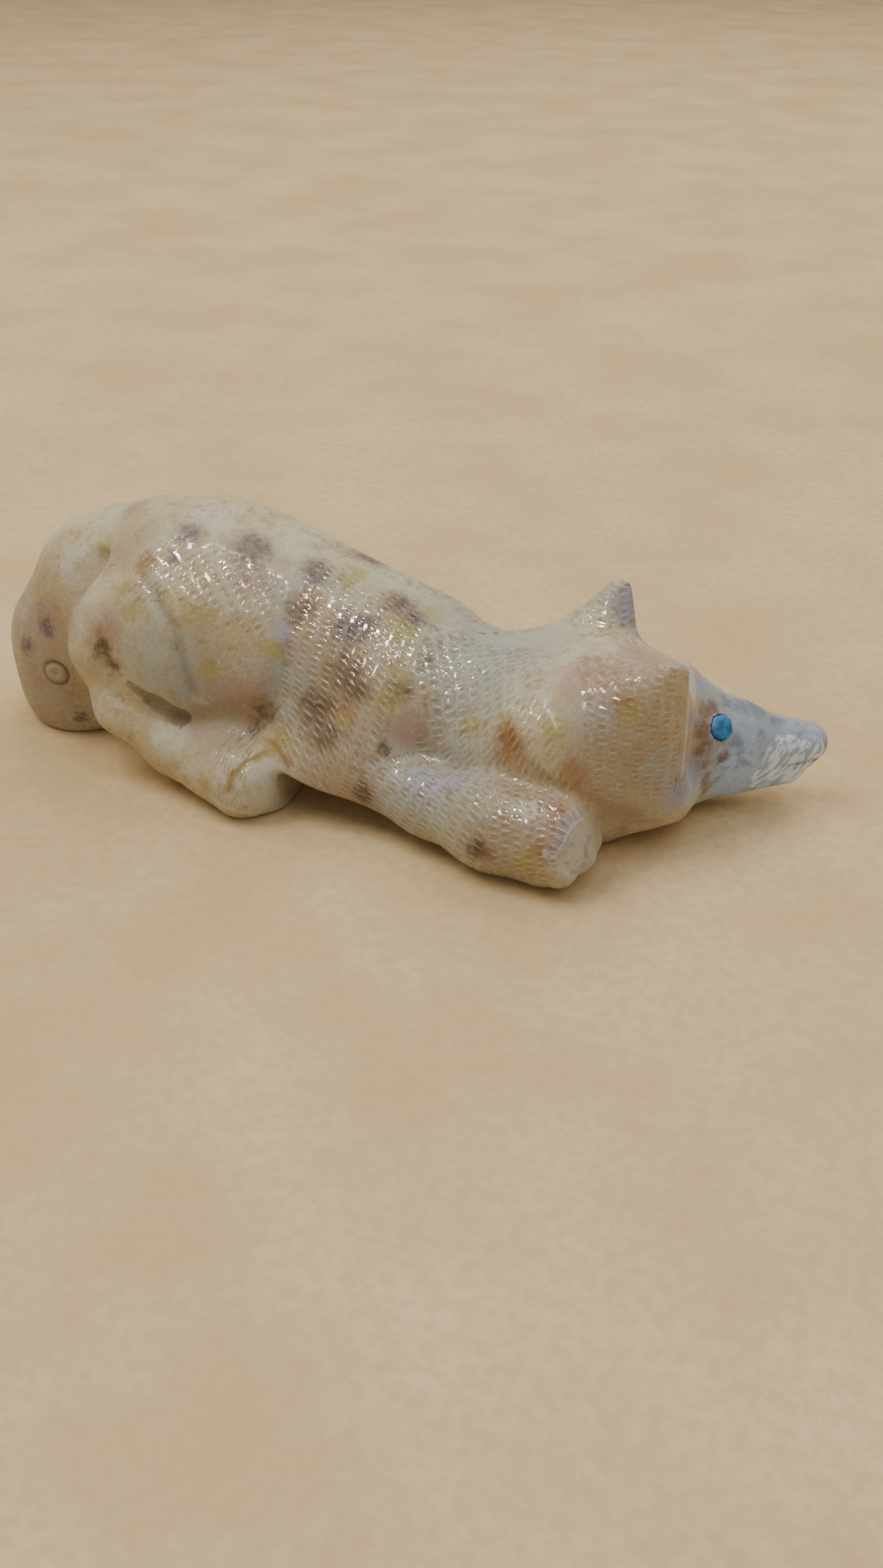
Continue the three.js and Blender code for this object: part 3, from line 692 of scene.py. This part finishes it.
CREAM, FROST, BEIGE = (0.57, 0.475, 0.275), (0.575, 0.555, 0.41), (0.44, 0.33, 0.185)
STAINS = {  # the stain: its colour, its strength, how ragged its edge is, and each spot's place and reach
    "tan": ((0.33, 0.25, 0.17), 0.85, 1.3, [
        (46, -12, 14, 8), (52, -16, 7, 8), (34, -14, 11, 5), (9.3, -9, 14, 6), (8, -8, 6, 6), (80, -12, 13, 6),
        (70, -20, 7, 6), (82, -12.5, 8.8, 5), (48, -16.5, 9, 4), (74.5, -20.3, 9, 2.4), (73, -21, 8, 4)]),
    "straw": ((0.42, 0.32, 0.165), 0.8, 1.1, [
        (21, -7, 26.5, 4), (27.2, -15.3, 8.2, 3.5), (12, -9, 22, 4), (20, -15, 16, 2.5), (33, -12, 19, 3),
        (79.5, 0.2, 19, 2.5), (61, -9, 15, 2.5)]),
    "mist": ((0.34, 0.365, 0.335), 0.85, 1.0, [
        (61, -3, 17, 8), (62, -10, 13, 4.5), (41, -12, 15.5, 3), (40, -7, 23, 2), (28.4, -13.6, 16, 4.5),
        (60, -17, 9, 6), (84, -11, 12.1, 2.2), (76.7, -12.8, 18.4, 2), (90, -2, 7.5, 4), (78.4, -20, 5, 2.6)]),
    "rose": ((0.38, 0.255, 0.2), 0.8, 0.9, [
        (79, -8, 20.5, 4), (79.5, -1, 19.5, 2.6), (80, -7.5, 21.7, 4), (75, -10, 20, 3), (56.3, -12.5, 12.3, 2.4),
        (36.3, -7.3, 25.6, 2.2), (36.8, -13.3, 12.8, 2.6), (21.6, -14.3, 20, 1.8), (18.9, -1.9, 28.8, 1.6),
        (9.3, -9, 16.4, 2.2), (74.4, -20.1, 9.4, 2), (87.3, -5, 14.6, 2.2), (86.9, -5, 12, 2), (87.6, -3.4, 9, 1.4)]),
    "slate": ((0.25, 0.32, 0.46), 0.95, 0.7, [
        (93, 1, 13, 6), (97, 4, 11, 4.5), (88, 1, 18, 4), (90, -1, 13, 3), (90.8, -1, 8, 2.6)]),
    "chalk": ((0.4, 0.53, 0.76), 0.95, 0.4, [
        (86.2, -7.2, 8.5, 1.9), (91.5, -0.5, 6, 4.6), (95, 1.5, 4.6, 4.4), (97.5, 3, 6, 4)]),
    "russet": ((0.19, 0.115, 0.075), 0.95, 0.6, [
        (86.8, -1.8, 14.5, 1.0), (87.0, -3.4, 12.7, 1.1), (87.3, -3.8, 10.8, 1.0), (87.3, -3.8, 8.4, 1.0),
        (87.9, -3.0, 6.2, 0.9), (88.2, -1.6, 12.8, 0.9), (87.6, -0.6, 14.4, 0.9), (89.1, -2.2, 8.9, 0.7)]),
    "steel": ((0.12, 0.15, 0.19), 0.8, 1.0, [
        (90, 3.2, 13.2, 1.2), (91.6, 4.2, 12.4, 1.2), (94, 4.6, 11, 0.9), (88.6, 2, 14.4, 1.0),
        (90.2, -0.6, 10.4, 0.8)]),
    "frost": ((0.57, 0.56, 0.48), 0.7, 0.9, [
        (28.5, -2.7, 29.5, 2.4), (26.2, -5.4, 28.4, 1.0), (56.7, -2.6, 20.2, 2.2), (51.1, 3.2, 22.1, 1.8),
        (38.6, -20.2, 5.1, 2), (41.5, -18.5, 4, 3.2), (75.5, 5.5, 22, 2.5), (13.5, -7.6, 23.9, 2.2),
        (28.4, -15.9, 7.8, 1.8), (72, -20, 10, 1.4), (78.3, -20.5, 5, 2.4)]),
    "mauve": ((0.13, 0.085, 0.095), 0.95, 0.7, [
        (27.6, -5.5, 28.5, 1.5), (35.3, -4.8, 27.5, 2.0), (27.1, -8.6, 26.6, 0.8), (42.4, -4.1, 25.1, 1.7),
        (45.5, 4.4, 23.8, 1.8), (51.9, -2.4, 22, 1.8), (53.7, -3.5, 21.2, 1.5), (48.0, -7.7, 21.1, 2.0),
        (49.5, -6.6, 21.3, 1.3), (9.6, -9.2, 15.6, 1.3), (8, -9, 18, 0.9), (6, -8.6, 12, 1.1), (11.5, -7.5, 3, 1.1)]),
    "umber": ((0.13, 0.068, 0.026), 0.95, 0.7, [
        (20.2, -14.9, 17.1, 1.2), (21.3, -15, 15.1, 0.9), (42.3, -8, 22.9, 1.4), (41.8, -9.2, 22, 1.0),
        (48.7, -11.4, 17.2, 1.9), (50.3, -12.2, 16.1, 1.5), (54.9, -10.8, 16.3, 1.2), (45.9, -13.6, 13.3, 2.0),
        (47.3, -15, 11.5, 1.8), (39.3, -12.9, 11.7, 1.5), (38.4, -13.2, 9.7, 1.2), (52.5, -17.3, 5.8, 1.2),
        (67.6, -22.4, 5, 1.2), (68.4, -15, 14.6, 1.3), (53.8, -15, 10.4, 0.7), (87.9, -3.0, 4.8, 0.8)]),
    "rust": ((0.33, 0.165, 0.06), 0.85, 0.9, [
        (24.2, -9.2, 26.4, 1.1), (42.6, -6.6, 23.7, 0.9), (49.3, -13.7, 13.7, 1.0), (50.6, -14.1, 13.2, 0.8),
        (68.4, -14.9, 15.1, 1.7), (68.3, -15.2, 13.5, 1.4), (75.7, -16, 12.9, 1.2), (76.6, -15.8, 11.9, 1.0),
        (79.9, -11.9, 19.4, 1.1), (41.3, -15.5, 8.7, 0.9), (43.3, -16.5, 7.8, 0.8), (74.3, -22.3, 6.4, 1.1),
        (75.1, -18.7, 9.9, 0.6)]),
    "ochre": ((0.37, 0.32, 0.065), 0.75, 1.1, [
        (17.2, -6.9, 25.8, 0.8), (14.4, -8.1, 23.4, 0.6), (7.7, -7.3, 19.2, 0.7), (30.7, -12.5, 21.7, 0.8),
        (32.5, -11.9, 21.7, 0.9), (33.2, -13.7, 16.1, 1.1), (40.1, -11.7, 18.9, 1.1), (45.5, -2.9, 24.2, 0.9),
        (46.2, -0.3, 24.3, 0.9), (55.4, -1.3, 21, 1.3), (53.1, -5.8, 20.5, 1.3), (54.3, -9.7, 17.6, 1.2),
        (53.9, -12.1, 15.2, 1.3), (49.6, -14.2, 12.9, 0.7), (73.5, -14.6, 16.7, 1.6), (42.3, -14.9, 9.8, 1.2),
        (38.2, -19.4, 7, 0.6), (39.4, -18, 7.8, 0.5), (40.2, -17, 7.9, 0.5), (72.6, -22.5, 5.2, 1.1),
        (80.7, -12, 18.9, 1.1), (88.0, -2.9, 5.1, 0.8), (34.1, -19.5, 5, 0.7), (22.3, -12.2, 23.6, 0.8),
        (23.7, -13.6, 21.8, 0.9), (63.2, -11.8, 13.7, 1.2)]),
    "lilac": ((0.33, 0.32, 0.41), 0.95, 0.7, [
        (41, -10.5, 20.7, 1.1), (41.8, -11, 19.7, 0.8), (40.3, -10.1, 21.4, 0.7), (59.6, -17.2, 8.7, 2.2),
        (62.7, -16.5, 9.4, 1.9), (86.6, -5, 8.4, 1.6), (86, -9, 8.3, 2.0), (86.2, -7.7, 16.7, 0.8),
        (86.3, -8, 11.9, 0.8), (76.5, 5.5, 22.5, 2.5)]),
    "soot": ((0.07, 0.06, 0.05), 0.85, 0.35, [
        (54.4, -14.9, 10.2, 0.45), (62, 1.2, 18.5, 0.5), (60.6, 0.1, 18.7, 0.35), (56.6, -7.1, 18.1, 0.55),
        (56.5, -7.9, 17.7, 0.4), (67.6, -22.5, 5.4, 0.4), (19.4, -9.1, 24.6, 0.35), (75.6, 6.8, 23.8, 0.4)]),
}

net = Net("polished_banded_stone")
here = net.node("TexCoord", output=3)
in_stone = net.node("Mapping", {"vector_type": "POINT"},
                    {"Vector": here, "Scale": (1 / UNIT,) * 3, "Location": tuple(middle - placed_middle / UNIT)})


def stirred(place, scale, amount):
    """The place moved by a noise of that scale, so that whatever is laid out on it gets a wandering edge."""
    drift = net.node("VectorMath", {"operation": "SUBTRACT"},
                     {0: net.noise(place, scale, 3, 0.6, output=1), 1: (0.5,) * 3})
    return net.node("VectorMath", {"operation": "MULTIPLY_ADD"}, {0: drift, 1: (amount,) * 3, 2: place})


bent = stirred(stirred(in_stone, 0.22, 1.6), 0.8, 1.9)
grain = net.noise(in_stone, 4.0, 4, 0.75)
cloud = net.noise(in_stone, 0.14, 4, 0.6)
mottle = net.noise(in_stone, 0.75, 5, 0.65)
fleck = net.noise(in_stone, 1.5, 3, 0.6, distortion=0.6)
band = net.noise(bent, 0.3, 3, 0.55)

# The block: cream clouded with grey-white, banded with beige, then the stains. A stain is solid within its reach and
# ragged beyond it, by the mottle and the flecks.
colour = net.mix(cloud.between(0.36, 0.64), CREAM, FROST)
colour = net.mix(band.between(0.46, 0.68) * 0.7, colour, BEIGE)
for tint, strength, ragged, spots in STAINS.values():
    away = net.nearest(bent, spots) + (mottle - 0.5) * (1.7 * ragged) + (fleck - 0.5) * ragged
    share = away.between(1.5 + 0.4 * ragged, 0.4)
    solid, broken = share * (strength * 0.75), share * share * mottle.between(0.60, 0.42) * (strength * 0.25)
    colour = net.mix(solid + broken, colour, tint)

# The small mottling, in brown, pale and ochre. On the muzzle, from X 86 to 89.5, it is fainter and grey.
BROWN_MOTTLE, GREY_MOTTLE, PALE_MOTTLE = (0.25, 0.175, 0.105), (0.12, 0.14, 0.19), (0.58, 0.55, 0.45)
OCHRE_FLECK = (0.38, 0.25, 0.06)
muzzle = net.node("SeparateXYZ", {}, {0: in_stone}).between(86.0, 89.5)
brown_share = mottle.between(0.48, 0.68) * (0.3 + cloud.between(0.6, 0.4) * 0.25) * (1 - muzzle * 0.8)
colour = net.mix(brown_share, colour, BROWN_MOTTLE)
colour = net.mix(mottle.between(0.50, 0.66) * muzzle * 0.45, colour, GREY_MOTTLE)
colour = net.mix(mottle.between(0.44, 0.30) * 0.35, colour, PALE_MOTTLE)
fleck_share = fleck.between(0.60, 0.72) * cloud.between(0.62, 0.44) * (0.5 - muzzle * 0.4)
colour = net.mix(fleck_share, colour, OCHRE_FLECK)

# The muzzle's white patch is a painted reflection of a broad bluish light on its sanded facet, with streaks that run
# down and forward in it along the sanding lines.
REFLECTION_SPOTS = [(95.8, 2.6, 7.6, 2.6), (94.4, 1.8, 4.6, 2.3), (98.2, 3.8, 7.4, 2.4), (96.6, 3.4, 5.2, 2.4)]
REFLECTION_GROUND, REFLECTION_STREAK = (0.36, 0.45, 0.62), (0.76, 0.87, 1.0)
STREAK_LEAN, STREAK_SIZE = math.radians(-48), (3.2, 0.7, 0.7)
along_streaks = net.node("Mapping", {"vector_type": "TEXTURE"},
                         {"Vector": in_stone, "Rotation": (0, STREAK_LEAN, HEAD_TURN), "Scale": STREAK_SIZE})
streaks = net.noise(along_streaks, 1.3, 3, 0.55)
painted_reflection = (net.nearest(in_stone, REFLECTION_SPOTS) + (mottle - 0.5) * 0.35).between(1.12, 0.92)
colour = net.mix(painted_reflection * 0.9, colour, REFLECTION_GROUND)
colour = net.mix(painted_reflection * streaks.between(0.43, 0.54) * 0.95, colour, REFLECTION_STREAK)

# The ring on the tail and its dot are darkened with painted shade in their grooves. Each eye has a thin pale blue rim
# round its pocket, painted light over the shade of the gap round the inlay.
RING_SHADE, POCKET_RIM_LIGHT = (0.45, 0.40, 0.34), (0.42, 0.60, 0.74)
ring_away = net.distance(in_stone, tuple(RING)) * HUNDREDTH
ring_shade_share = abs(ring_away - RING_RADIUS).between(0.3, 0.08) * 0.6 + ring_away.between(0.3, 0.12) * 0.3
colour = net.dyed(ring_shade_share, colour, RING_SHADE)
# A pale blue rim round each pocket: painted light over the shade of the gap between inlay and pocket.
for seat, _ in seats.values():
    rim_away = abs(net.distance(in_stone, tuple(seat)) * HUNDREDTH - EYE_RADIUS - 0.1)
    colour = net.mix(rim_away.between(0.24, 0.06) * 0.55, colour, POCKET_RIM_LIGHT)

# The fur again, from the same sums as its cuts: painted shade in the scoops and a painted highlight on each ridge
# between two.
SCOOP_SHADE, RIDGE_HIGHLIGHT, GRAIN_DIRT = (0.60, 0.54, 0.46), (0.70, 0.63, 0.50), (0.76, 0.71, 0.64)
cuts, ridges, furred = None, None, None
for name in ("fur_a", "fur_b", "fur_c"):
    along, across, bold = net.parts(name)
    scoop, ridge = scoops(along, across, bold)
    cuts, ridges, furred = ((scoop, ridge, bold) if cuts is None else
                            (cuts + scoop, ridges + ridge, furred + bold))
# Painted shade in the scoops' hollows, then a painted highlight on the ridges between them.
colour = net.dyed(cuts.between(0.1, 0.9) * 0.38, colour, SCOOP_SHADE)
colour = net.mix(ridges.between(0.1, 0.8) * 0.45, colour, RIDGE_HIGHLIGHT)
colour = net.dyed(grain.between(0.40, 0.62) * (0.6 - muzzle * 0.4), colour, GRAIN_DIRT)

# The rims and grooves: a painted highlight along the ruff's rim, and painted shade in the mouth line, the ring, the
# hollow and the fold.
RIM_HIGHLIGHT, GROOVE_SHADE = (0.68, 0.66, 0.64), (0.52, 0.42, 0.33)
rim_light_and_groove_shade = net.node("Attribute", {"attribute_name": "rim_light_and_groove_shade"}, output=2)
colour = net.mix(rim_light_and_groove_shade.between(0.2, 0.9) * 0.34, colour, RIM_HIGHLIGHT)
colour = net.dyed(rim_light_and_groove_shade.between(-0.1, -0.9) * 0.7, colour, GROOVE_SHADE)

# The paws: ochre in the hind creases; a dark line round each forepaw under a fringe of pale loops, each loop a spoke
# and a piece of the fringe's front line, LOOP_AHEAD in front of it.
CREASE_STAIN, FRINGE_SHADE, FRINGE_LOOPS = (0.33, 0.20, 0.035), (0.27, 0.22, 0.25), (0.52, 0.49, 0.60)
LOOP_AHEAD = 0.66
from_fringe, along_fringe, from_crease = net.parts("paw_lines")
near_fringe = along_fringe.between(-0.5, -0.1)
colour = net.mix((from_crease + (mottle - 0.5) * 0.9).between(0.75, 0.15) * 0.75, colour, CREASE_STAIN)
colour = net.mix(abs(from_fringe).between(0.85, 0.55) * near_fringe * 0.5, colour, FRINGE_SHADE)
spoke = abs((along_fringe / LOOP) % 1 - 0.5).between(0.34, 0.46) * abs(from_fringe).between(0.95, 0.6)
loop = abs(from_fringe - LOOP_AHEAD).between(0.24, 0.05) + spoke
colour = net.mix(loop * near_fringe * (0.35 + fleck.between(0.4, 0.6) * 0.35), colour, FRINGE_LOOPS)

# The finish: dull, but bright in patches of the fur, with the grain, the mottle and the scoops as fine relief.
ROUGH, SHINE = 0.80, 0.72
RELIEF = 0.000034
glossy = furred.between(0.15, 0.5) * net.noise(in_stone, 1.5, 2, 0.5).between(0.48, 0.54)
relief = net.node("Bump", {}, {"Strength": 1.0, "Distance": RELIEF,
                               "Height": (grain * 0.2 + mottle * 0.3) - cuts + ridges * 0.3})
net.feed(net.surface, {"Base Color": colour, "Roughness": ROUGH - glossy * SHINE, "IOR": 1.5, "Normal": relief,
                       "Subsurface Weight": 0.12, "Subsurface Scale": 0.0012, "Subsurface Radius": (1.0, 0.7, 0.45)})
mesh.materials.append(net.material)
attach(body, "root")
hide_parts("fox_body")

# The eyes. Each is a dot of turquoise, sawn to a rough round, glued into its pocket with its flat back down and
# rubbed nearly flush, so that it stands a little proud. Its heights are in millimetres from the cheek.
RINGS, STEPS = 10, 40
DOME, FOOT = 0.16, -0.44


def inlay(place, direction, seed):
    """A low dome on a slightly uneven round: the radius wavers with the angle by three sines, and the height falls
    with the share of the radius to the power 2.4. The rim goes straight down to the foot of the pocket."""
    side = np.cross(direction, (0, 0, 1.0))
    side /= np.linalg.norm(side)
    up = np.cross(side, direction)
    turn = np.linspace(0, 2 * math.pi, STEPS, endpoint=False)
    rim = 1 + 0.035 * np.sin(2 * turn + seed) + 0.025 * np.sin(5 * turn + 2 * seed) + 0.02 * np.sin(7 * turn)
    outwards = np.linspace(0, 1, RINGS)[1:]
    share = np.concatenate([outwards, [1.0]])
    height = np.concatenate([DOME * (1 - outwards ** 2.4), [FOOT]])
    ring = (share[:, None] * rim)[..., None] * EYE_RADIUS * (
        np.cos(turn)[:, None] * side + np.sin(turn)[:, None] * up) + (height[:, None, None] * direction)
    points = np.concatenate([ring.reshape(-1, 3), [direction * DOME, direction * FOOT]]) / HUNDREDTH + place
    k = np.arange(STEPS)
    n = (k + 1) % STEPS
    faces = [(i * STEPS + a, (i + 1) * STEPS + a, (i + 1) * STEPS + b, i * STEPS + b)
             for i in range(len(share) - 1) for a, b in zip(k, n)]
    tops = [(len(points) - 2, a, b) for a, b in zip(k, n)]
    last = (len(share) - 1) * STEPS
    lows = [(len(points) - 1, last + b, last + a) for a, b in zip(k, n)]
    return points, [tuple(int(v) for v in f) for f in faces + tops + lows]


DEEP_BLUE, SKY_BLUE, VEIN = (0.002, 0.11, 0.29), (0.006, 0.24, 0.60), (0.015, 0.075, 0.11)
VEIN_RELIEF = 0.00006
blue = Net("turquoise")
in_eye = blue.node("TexCoord", output=3)
veins = blue.noise(in_eye, 2200, 4, 0.6)
dapple = blue.noise(in_eye, 1300, 3, 0.5)
eye_colour = blue.mix(dapple.between(0.35, 0.65), DEEP_BLUE, SKY_BLUE)
eye_colour = blue.mix(veins.between(0.56, 0.72) * 0.6, eye_colour, VEIN)
uneven = blue.node("Bump", {}, {"Strength": 0.5, "Distance": VEIN_RELIEF, "Height": veins})
blue.feed(blue.surface, {"Base Color": eye_colour, "Roughness": 0.5 + dapple * 0.2, "IOR": 1.5, "Normal": uneven})
for seed, (name, (place, direction)) in enumerate(seats.items()):
    points, faces = inlay(place, direction, seed + 1.0)
    eye_mesh = bpy.data.meshes.new("inlay_" + name)
    eye_mesh.from_pydata(placed(points), [], faces)
    eye_mesh.shade_smooth()
    eye_mesh.materials.append(blue.material)
    eye = bpy.data.objects.new("inlay_" + name, eye_mesh)
    bpy.context.scene.collection.objects.link(eye)
    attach(eye, "root")
    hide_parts(name)

# The floor: a plain pale tabletop that the carving stands on. It is stage and no part of the object: one flat square
# with a faint blotch and fibre in its colour.
REACH = 2
WARM_PALE, LIGHT_PALE, FIBRE = (0.60, 0.43, 0.205), (0.73, 0.555, 0.315), (0.55, 0.385, 0.19)
floor_mesh = bpy.data.meshes.new("floor")
floor_mesh.from_pydata([(-REACH, -REACH, 0), (REACH, -REACH, 0), (REACH, REACH, 0), (-REACH, REACH, 0)], [],
                       [(0, 1, 2, 3)])
floor = bpy.data.objects.new("floor", floor_mesh)
bpy.context.scene.collection.objects.link(floor)
ground = Net("pale_table")
on_table = ground.node("TexCoord", output=3)
blotch = ground.noise(on_table, 45, 4, 0.6)
fibre = ground.noise(on_table, 900, 3, 0.6)
table_colour = ground.mix(blotch.between(0.3, 0.7), WARM_PALE, LIGHT_PALE)
table_colour = ground.mix(fibre.between(0.35, 0.65) * 0.5, table_colour, FIBRE)
ground.feed(ground.surface, {"Base Color": table_colour, "Roughness": 0.8})
floor_mesh.materials.append(ground.material)

# The light: a plain soft studio. Three broad lamps and the pale air round the table light the stone, and a few small
# lamps high above put the glints on the fur. A lamp either lights or glints, so that the two can be set apart.
WARM, GLINT_TINT = (1.0, 0.94, 0.85), (1.0, 0.93, 0.80)
GLINT_HEIGHT, GLINT_SIZE = 0.75, 0.05
GLINTS = [(0.11, -0.05, 6), (0.40, -0.04, 2.2), (-0.26, -0.06, 5), (-0.04, -0.40, 3.2)]
AIR_TINT, AIR_STRENGTH = (1.0, 0.97, 0.92, 1), 0.33


def lamp(name, place, size, watts, tint, shines):
    """A square lamp at a place, turned so that it shines at the middle of the floor."""
    light = bpy.data.lights.new(name, "AREA")
    light.size, light.energy, light.color = size, watts, tint
    made = bpy.data.objects.new(name, light)
    bpy.context.scene.collection.objects.link(made)
    made.location = place
    made.rotation_euler = (math.acos(place[2] / np.linalg.norm(place)), 0,
                           math.atan2(-place[1], -place[0]) - math.pi / 2)
    made.visible_glossy, made.visible_diffuse = shines, not shines
    return made


lamp("overhead_left", (-0.34, -0.10, 0.62), 0.40, 2.8, WARM, shines=False)
lamp("overhead_right", (0.28, -0.20, 0.62), 0.40, 0.9, WARM, shines=False)
lamp("behind", (0.05, 0.42, 0.50), 0.50, 2.2, WARM, shines=False)
for number, (x, y, watts) in enumerate(GLINTS):
    lamp(f"glint_{number}", (x, y, GLINT_HEIGHT), GLINT_SIZE, watts, GLINT_TINT, shines=True)
world = bpy.data.worlds.new("studio")
bpy.context.scene.world = world
world.use_nodes = True
air = world.node_tree.nodes["Background"]
air.inputs["Color"].default_value, air.inputs["Strength"].default_value = AIR_TINT, AIR_STRENGTH

# The camera, where the photograph was taken from: close above the right side, a little ahead of it. It looks down
# on the back, so the whole length shows with the nose at the right.
camera_data = bpy.data.cameras.new("photo")
camera_data.sensor_width = 36
camera_data.lens = 34.58
camera_data.clip_start = 0.005
camera = bpy.data.objects.new("photo", camera_data)
bpy.context.scene.collection.objects.link(camera)
camera.location = (0.0435, -0.1130, 0.0755)
camera.rotation_euler = (math.radians(57), 0, math.radians(19))
bpy.context.scene.camera = camera

bpy.context.view_layer.update()
